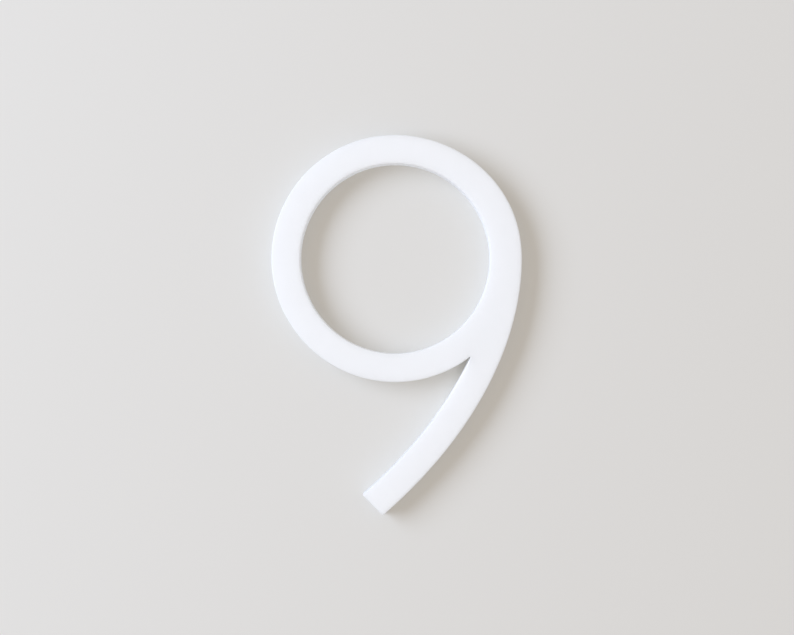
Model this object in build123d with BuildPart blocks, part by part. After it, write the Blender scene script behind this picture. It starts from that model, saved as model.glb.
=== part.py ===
# A door number: the figure nine, one solid piece of white plastic with flat front and back faces.
# It lies on its back: the back face is at z = 0, +Z points out of the front and +Y to the figure's top.
# The origin is the middle of the outline's extents, on the back face. Lengths are in millimetres.

import os
from math import sqrt

from build123d import *

os.makedirs("parts", exist_ok=True)

# Overall sizes
figure_height = 150.0  # top of the bowl to the lowest corner of the foot
bowl_diameter = 97.5  # outside of the round bowl
stroke_width = 11.2  # across the bowl's ring and across the tail
thickness = 8.0  # back face to front face
edge_radius = 0.3  # rounding along the edges of the front face
crotch_radius = 0.15  # inside corner between the bowl and the tail, as a fine cutter leaves it

# Course of the tail
flank_swell = 1.2  # how far the right side stands out past the bowl's circle
flank_pull = 29.8  # how far the curve holds upright, above and below its widest point
foot_pull = 52.0  # how far it holds the foot's slope before the end
foot_reach = 4.8  # lowest corner of the foot, left of the bowl's middle
foot_slope = 41.0  # slope of the tail's outer edge at the foot, degrees from level
foot_cut = 45.0  # slope of the straight end of the foot, degrees from level

# Points that the outline passes through, and the way the tail runs at its foot
bowl_radius = bowl_diameter / 2
bowl_centre = Vector(-flank_swell / 2, figure_height / 2 - bowl_radius)
crown = bowl_centre + Vector(0, bowl_radius)
flank = bowl_centre + Vector(bowl_radius + flank_swell, 0)
foot = Vector(bowl_centre.X - foot_reach, -figure_height / 2)
foot_way = Vector(-1, 0).rotate(Axis.Z, foot_slope)
foot_run = foot_way * stroke_width
cut_normal = Vector(0, 1).rotate(Axis.Z, -foot_cut)

# The shoulder leaves the crown with the same curvature as the bowl, so that no join shows
crown_pull = sqrt(2 / 3 * bowl_radius * (bowl_radius - flank_pull))

# Tail: a stroke of even width, run on past the foot and then cut off at a slant
with BuildSketch() as tail_outline:
    with BuildLine():
        outer = Bezier(flank, flank - Vector(0, flank_pull), foot - foot_way * foot_pull, foot)
        steps = [i / 12 for i in range(13)]
        across = [(outer % step).rotate(Axis.Z, -90) * stroke_width for step in steps]
        points = [outer @ step + width for step, width in zip(steps, across)]
        inner = Spline(points + [points[-1] + foot_run], tangents=[outer % 0, outer % 1])
        Line(outer @ 0, inner @ 0)
        Polyline(outer @ 1, outer @ 1 + foot_run, inner @ 1)
    make_face()
    split(bisect_by=Plane(origin=foot, z_dir=cut_normal), keep=Keep.TOP)

# Whole figure: the bowl with its swelling shoulder, the tail below it, and the round eye
with BuildPart() as numeral_nine:
    with BuildSketch():
        with BuildLine():
            rim = CenterArc(bowl_centre, bowl_radius, 90, 270)
            Line(rim @ 1, flank)
            Bezier(flank, flank + Vector(0, flank_pull), crown + Vector(crown_pull, 0), crown)
        make_face()
        add(tail_outline.sketch)
        with Locations(bowl_centre):
            Circle(bowl_radius - stroke_width, mode=Mode.SUBTRACT)
    extrude(amount=thickness)
    crotch = numeral_nine.edges().filter_by(Axis.Z).sort_by(Axis.Y)[2]  # next above the foot's two corners
    fillet(crotch, radius=crotch_radius)
    fillet(numeral_nine.faces().sort_by(Axis.Z)[-1].edges(), radius=edge_radius)

numeral_nine.part.label = "numeral_nine"
export_step(numeral_nine.part, "parts/numeral_nine.step")
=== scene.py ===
import math

import bpy
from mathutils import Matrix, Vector


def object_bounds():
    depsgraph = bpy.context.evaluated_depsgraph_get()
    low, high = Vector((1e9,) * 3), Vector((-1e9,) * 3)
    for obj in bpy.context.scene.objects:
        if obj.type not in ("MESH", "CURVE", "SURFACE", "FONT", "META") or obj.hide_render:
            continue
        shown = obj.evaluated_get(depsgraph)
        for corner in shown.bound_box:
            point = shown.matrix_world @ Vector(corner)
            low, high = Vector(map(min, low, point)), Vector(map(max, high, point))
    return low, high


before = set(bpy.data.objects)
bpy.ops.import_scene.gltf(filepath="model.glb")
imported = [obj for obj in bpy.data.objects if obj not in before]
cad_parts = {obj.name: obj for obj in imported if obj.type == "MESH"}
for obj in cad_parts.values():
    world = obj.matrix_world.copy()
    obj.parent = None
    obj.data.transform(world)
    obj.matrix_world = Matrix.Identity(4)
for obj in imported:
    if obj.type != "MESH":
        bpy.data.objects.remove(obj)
cadLow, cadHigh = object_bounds()
scene = bpy.context.scene
print("frame loaded, the figure measures", [round(1000 * side, 2) for side in cadHigh - cadLow], "mm")


def linear(hexCode):  # sRGB hex code to linear red, green, blue and alpha
    parts = [int(hexCode[start:start + 2], 16) / 255 for start in (1, 3, 5)]
    return [part / 12.92 if part <= 0.04045 else ((part + 0.055) / 1.055) ** 2.4 for part in parts] + [1.0]


# An input is a number, a colour or another node's output.
# A Mix node takes its share at socket 0, numbers at 2 and 3, colours at 6 and 7.
def addNode(tree, kind, inputs=None, **settings):
    node = tree.nodes.new(kind)
    for name, value in settings.items():
        setattr(node, name, value)
    for socket, value in (inputs or {}).items():
        if isinstance(value, bpy.types.NodeSocket):
            tree.links.new(value, node.inputs[socket])
        else:
            node.inputs[socket].default_value = value
    return node


def emptyMaterial(name):
    material = bpy.data.materials.new(name)
    material.use_nodes = True
    material.node_tree.nodes.clear()
    return material


# The figure: opal white cast acrylic sheet, cut out by laser.
# To the eye: a clean white that light sinks into, satin in front, with matt cut edges that carry light.
acrylic = {
    "milky": "#F6F6F5",  # two whites of the cloudy sheet
    "clear": "#F8F8F7",
    "cloudMm": 40,
    "cloudDetail": 2.0,
    "ridgeLitTop": "#F9F9F7",  # the cut edge, painted lighter on its ridges and with painted shade between them
    "ridgeShadedFoot": "#F4F4F2",
    "edgeBelow": 0.25,  # upward part of the normal, up to this on the cut edge and from the next on the face
    "faceAbove": 0.8,
    "ior": 1.49,  # acrylic
    "scatterMm": (4.6, 4.6, 4.6),  # how far light travels in the opal sheet
    "satinLow": 0.33,  # roughness of the front, wiped clean and less clean
    "satinHigh": 0.43,
    "wipeMm": 15,
    "wipeDetail": 3.0,
    "wipeBend": 0.6,
    "faceGloss": 0.5,
    "cutRoughness": 0.5,
    "cutGloss": 0.0,  # the ridged edge doesn't mirror, even at a flat angle
    "peelMm": 1.5,  # cast skin, about 0.5 mm in the real sheet, drawn coarser to show
    "peelDetail": 1.0,
    "peelDepthMm": 0.004,
    "ridgeMm": 0.6,  # upright laser ridges, about 0.25 mm in the real sheet, drawn coarser to show
    "ridgeDetail": 2.0,
    "ridgeDepthMm": 0.01,
    "ridgeStretch": 0.06,
    "noiseLow": 0.35,  # most of a noise lies between these two
    "noiseHigh": 0.65,
}


def opalAcrylicLaserCut():
    material = emptyMaterial("opalAcrylicLaserCut")
    tree = material.node_tree
    place = addNode(tree, "ShaderNodeTexCoord")
    facing = addNode(tree, "ShaderNodeSeparateXYZ", {"Vector": place.outputs["Normal"]})
    flatness = addNode(tree, "ShaderNodeMath", {0: facing.outputs["Z"]}, operation="ABSOLUTE")
    front = addNode(tree, "ShaderNodeMapRange", {  # 1 on the front and back, 0 on the cut edge
        "Value": flatness.outputs[0], "From Min": acrylic["edgeBelow"], "From Max": acrylic["faceAbove"]})
    gloss = addNode(tree, "ShaderNodeMapRange", {
        "Value": front.outputs[0], "To Min": acrylic["cutGloss"], "To Max": acrylic["faceGloss"]})

    cloud = addNode(tree, "ShaderNodeTexNoise", {
        "Vector": place.outputs["Object"],
        "Scale": 1000 / acrylic["cloudMm"],
        "Detail": acrylic["cloudDetail"],
    })
    faceColour = addNode(tree, "ShaderNodeMix", {
        0: cloud.outputs["Fac"],
        6: linear(acrylic["milky"]),
        7: linear(acrylic["clear"]),
    }, data_type="RGBA")
    upright = addNode(tree, "ShaderNodeMapping", {
        "Vector": place.outputs["Object"], "Scale": (1, 1, acrylic["ridgeStretch"])})
    ridges = addNode(tree, "ShaderNodeTexNoise", {
        "Vector": upright.outputs[0],
        "Scale": 1000 / acrylic["ridgeMm"],
        "Detail": acrylic["ridgeDetail"],
    })
    # painted shade on the cut edge: the laser ridges' tops lighter, the hollows between them darker,
    # following the ridge bump
    ridgeShadeShare = addNode(tree, "ShaderNodeMapRange", {
        "Value": ridges.outputs["Fac"], "From Min": acrylic["noiseLow"], "From Max": acrylic["noiseHigh"]})
    cutColourWithRidgeShade = addNode(tree, "ShaderNodeMix", {
        0: ridgeShadeShare.outputs[0],
        6: linear(acrylic["ridgeShadedFoot"]),
        7: linear(acrylic["ridgeLitTop"]),
    }, data_type="RGBA")
    colour = addNode(tree, "ShaderNodeMix", {
        0: front.outputs[0], 6: cutColourWithRidgeShade.outputs[2], 7: faceColour.outputs[2]}, data_type="RGBA")

    wipe = addNode(tree, "ShaderNodeTexNoise", {
        "Vector": place.outputs["Object"],
        "Scale": 1000 / acrylic["wipeMm"],
        "Detail": acrylic["wipeDetail"],
        "Distortion": acrylic["wipeBend"],
    })
    satin = addNode(tree, "ShaderNodeMapRange", {
        "Value": wipe.outputs["Fac"], "From Min": acrylic["noiseLow"], "From Max": acrylic["noiseHigh"],
        "To Min": acrylic["satinLow"], "To Max": acrylic["satinHigh"]})
    roughness = addNode(tree, "ShaderNodeMix", {
        0: front.outputs[0], 2: acrylic["cutRoughness"], 3: satin.outputs[0]})

    peel = addNode(tree, "ShaderNodeTexNoise", {
        "Vector": place.outputs["Object"],
        "Scale": 1000 / acrylic["peelMm"],
        "Detail": acrylic["peelDetail"],
    })
    depth = addNode(tree, "ShaderNodeMapRange", {
        "Value": front.outputs[0],
        "To Min": acrylic["ridgeDepthMm"] / 1000,
        "To Max": acrylic["peelDepthMm"] / 1000,
    })
    relief = addNode(tree, "ShaderNodeMix", {
        0: front.outputs[0], 2: ridges.outputs["Fac"], 3: peel.outputs["Fac"]})
    bump = addNode(tree, "ShaderNodeBump", {
        "Height": relief.outputs[0], "Distance": depth.outputs[0], "Strength": 1.0})

    surface = addNode(tree, "ShaderNodeBsdfPrincipled", {
        "Base Color": colour.outputs[2],
        "Roughness": roughness.outputs[0],
        "IOR": acrylic["ior"],
        "Specular IOR Level": gloss.outputs[0],
        "Subsurface Weight": 1.0,
        "Subsurface Radius": acrylic["scatterMm"],
        "Subsurface Scale": 0.001,  # the lengths above are in mm
        "Normal": bump.outputs[0],
    })
    addNode(tree, "ShaderNodeOutputMaterial", {"Surface": surface.outputs["BSDF"]})
    return material


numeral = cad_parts["numeral_nine"]
numeral.data.materials.clear()
numeral.data.materials.append(opalAcrylicLaserCut())
print("acrylic on", numeral.name, "with", len(numeral.data.polygons), "faces")

# The floor: matt painted board. To the eye: a pale, slightly warm grey without shine.
floorLook = {
    "colour": "#E2DFD9", "roughness": 0.9, "gloss": 0.2,
    "half": 10.0, "drop": 0.00002,  # it lies just under the figure's back
}
reach = floorLook["half"]
floorCorners = [(-reach, -reach, 0), (reach, -reach, 0), (reach, reach, 0), (-reach, reach, 0)]
floorMesh = bpy.data.meshes.new("floor")
floorMesh.from_pydata(floorCorners, [], [(0, 1, 2, 3)])
floorMaterial = emptyMaterial("mattPaintedBoard")
floorSurface = addNode(floorMaterial.node_tree, "ShaderNodeBsdfPrincipled", {
    "Base Color": linear(floorLook["colour"]),
    "Roughness": floorLook["roughness"],
    "Specular IOR Level": floorLook["gloss"],
})
addNode(floorMaterial.node_tree, "ShaderNodeOutputMaterial", {"Surface": floorSurface.outputs["BSDF"]})
floorMesh.materials.append(floorMaterial)
floor = bpy.data.objects.new("floor", floorMesh)
floor.location.z = -floorLook["drop"]
floor.visible_diffuse = False  # the figure's edges and back get the room's light from below instead
floor.visible_glossy = False
scene.collection.objects.link(floor)
print("floor laid")

# The room: soft warm light, a little stronger overhead. The floor is hidden from the figure's own rays,
# so the light that it would send back comes from below too, less of it on the window's side.
room = {
    "warm": (0.723, 0.684, 0.645), "level": 0.7, "overhead": 1.0,
    "sentBack": (0.76, 0.79, 0.85), "lightSide": 0.1, "shadowSide": 1.05, "underneath": 1.7,
    "shadowAzimuth": -15, "sideFrom": -0.7, "sideTo": 0.05, "underneathFrom": -0.5, "horizon": 0.02,
}
world = bpy.data.worlds.new("room")
world.use_nodes = True
scene.world = world
roomTree = world.node_tree
roomTree.nodes.clear()
roomPlace = addNode(roomTree, "ShaderNodeTexCoord")
roomWay = addNode(roomTree, "ShaderNodeSeparateXYZ", {"Vector": roomPlace.outputs["Generated"]})
shadowTurn = math.radians(room["shadowAzimuth"])
shadowWay = addNode(roomTree, "ShaderNodeVectorMath", {
    0: roomPlace.outputs["Generated"],
    1: (math.cos(shadowTurn), math.sin(shadowTurn), 0),
}, operation="DOT_PRODUCT")
fromAbove = addNode(roomTree, "ShaderNodeMapRange", {
    "Value": roomWay.outputs["Z"], "To Min": room["level"], "To Max": room["overhead"]})
fromSide = addNode(roomTree, "ShaderNodeMapRange", {
    "Value": shadowWay.outputs["Value"], "From Min": room["sideFrom"], "From Max": room["sideTo"],
    "To Min": room["lightSide"], "To Max": room["shadowSide"]})
fromBelow = addNode(roomTree, "ShaderNodeMapRange", {
    "Value": roomWay.outputs["Z"], "From Min": -1.0, "From Max": room["underneathFrom"],
    "To Min": room["underneath"], "To Max": fromSide.outputs[0]})
highGlow = addNode(roomTree, "ShaderNodeBackground", {
    "Color": (*room["warm"], 1), "Strength": fromAbove.outputs[0]})
lowGlow = addNode(roomTree, "ShaderNodeBackground", {
    "Color": (*room["sentBack"], 1), "Strength": fromBelow.outputs[0]})
upperHalf = addNode(roomTree, "ShaderNodeMapRange", {
    "Value": roomWay.outputs["Z"], "From Min": -room["horizon"], "From Max": room["horizon"]})
roomGlow = addNode(roomTree, "ShaderNodeMixShader", {
    0: upperHalf.outputs[0], 1: lowGlow.outputs[0], 2: highGlow.outputs[0]})
addNode(roomTree, "ShaderNodeOutputWorld", {"Surface": roomGlow.outputs[0]})

# The window: one wide soft light from the left, a little above the middle of the picture
window = {
    "azimuth": 165, "elevation": 34, "distance": 2.0,
    "width": 1.99, "height": 1.16, "power": 25.7, "colour": (0.96, 1.115, 1.387),
}
lamp = bpy.data.lights.new("window", "AREA")
lamp.shape = "ELLIPSE"
lamp.size = window["width"]
lamp.size_y = window["height"]
lamp.energy = window["power"]
lamp.color = window["colour"]
lampObject = bpy.data.objects.new("window", lamp)
turn, rise = math.radians(window["azimuth"]), math.radians(window["elevation"])
lampWay = Vector((math.cos(turn) * math.cos(rise), math.sin(turn) * math.cos(rise), math.sin(rise)))
lampObject.location = lampWay * window["distance"]
lampObject.rotation_euler = (-lampWay).to_track_quat("-Z", "Y").to_euler()
scene.collection.objects.link(lampObject)
print("lights set")

# The camera looks straight down on the figure's face
shot = {
    "mmPerPixel": 0.39395, "aboveFace": 0.563, "imageWidth": 794, "sensorMm": 36.0,
    "aimX": 0.00015, "aimY": 0.00298,
}
camera = bpy.data.cameras.new("camera")
camera.sensor_width = shot["sensorMm"]
camera.lens = camera.sensor_width * shot["aboveFace"] / (shot["imageWidth"] * shot["mmPerPixel"] / 1000)
cameraObject = bpy.data.objects.new("camera", camera)
cameraObject.location = (shot["aimX"], shot["aimY"], cadHigh.z + shot["aboveFace"])
scene.collection.objects.link(cameraObject)
scene.camera = cameraObject
scene.view_settings.view_transform = "Standard"
print("camera set, lens", round(camera.lens, 1), "mm")
